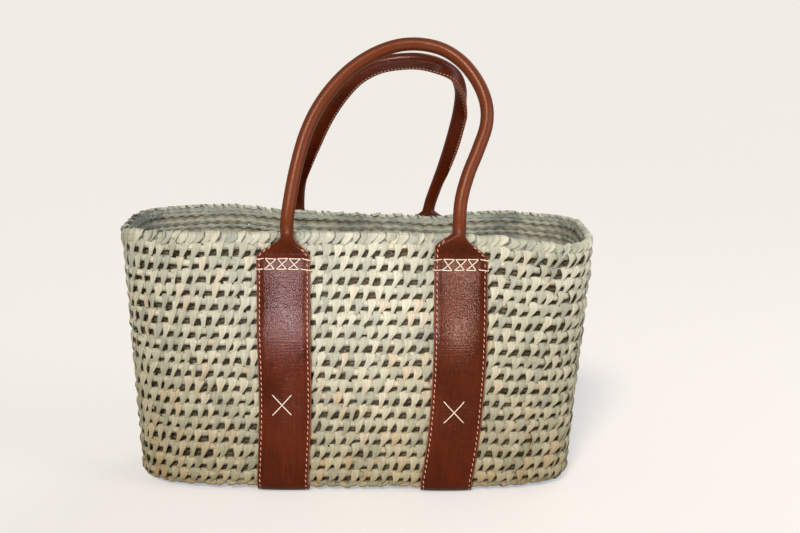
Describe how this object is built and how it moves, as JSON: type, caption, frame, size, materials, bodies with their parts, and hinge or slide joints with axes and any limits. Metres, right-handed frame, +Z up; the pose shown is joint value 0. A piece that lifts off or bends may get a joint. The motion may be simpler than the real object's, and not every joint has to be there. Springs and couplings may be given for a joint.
{
  "type": "straw tote bag",
  "caption": "Open straw tote basket crocheted from palm leaf, with rolled leather handles that fold on laced leather straps running down the wall and under the base.",
  "frame": {"origin": "on the floor below the middle of the basket, level with the undersides of the straps", "axes": "+X along the bag to the right as seen from the front, +Y from the front to the rear, +Z up"},
  "size_m": [0.4796, 0.2024, 0.4535],
  "materials": {
    "palm_leaf": "matte crocheted palm leaf",
    "leather": "glossy oiled cognac leather",
    "lining_leather": "matte split leather",
    "lacing_thread": "waxed cream thread",
    "core_cord": "twisted cotton cord"
  },
  "bodies": {
    "basket": {"base_panel": "palm_leaf", "wall": "palm_leaf", "rim_border": "palm_leaf", "front_left_strap": "leather", "front_right_strap": "leather", "rear_left_strap": "leather", "rear_right_strap": "leather", "front_left_lining": "lining_leather", "front_right_lining": "lining_leather", "rear_left_lining": "lining_leather", "rear_right_lining": "lining_leather", "front_left_lacing": "lacing_thread", "front_right_lacing": "lacing_thread", "rear_left_lacing": "lacing_thread", "rear_right_lacing": "lacing_thread", "front_left_cross": "lacing_thread", "front_right_cross": "lacing_thread", "rear_left_cross": "lacing_thread", "rear_right_cross": "lacing_thread"},
    "front_handle": {"front_handle_sleeve": "leather", "front_handle_core": "core_cord"},
    "rear_handle": {"rear_handle_sleeve": "leather", "rear_handle_core": "core_cord"}
  },
  "joints": [
    {"name": "front_handle_fold", "type": "hinge", "parent": "basket", "child": "front_handle", "pos_m": [0, -0.09101, 0.246], "axis": [1, 0, 0], "range_deg": [0, 130]},
    {"name": "rear_handle_fold", "type": "hinge", "parent": "basket", "child": "rear_handle", "pos_m": [0, 0.09101, 0.246], "axis": [-1, 0, 0], "range_deg": [0, 130]}
  ]
}
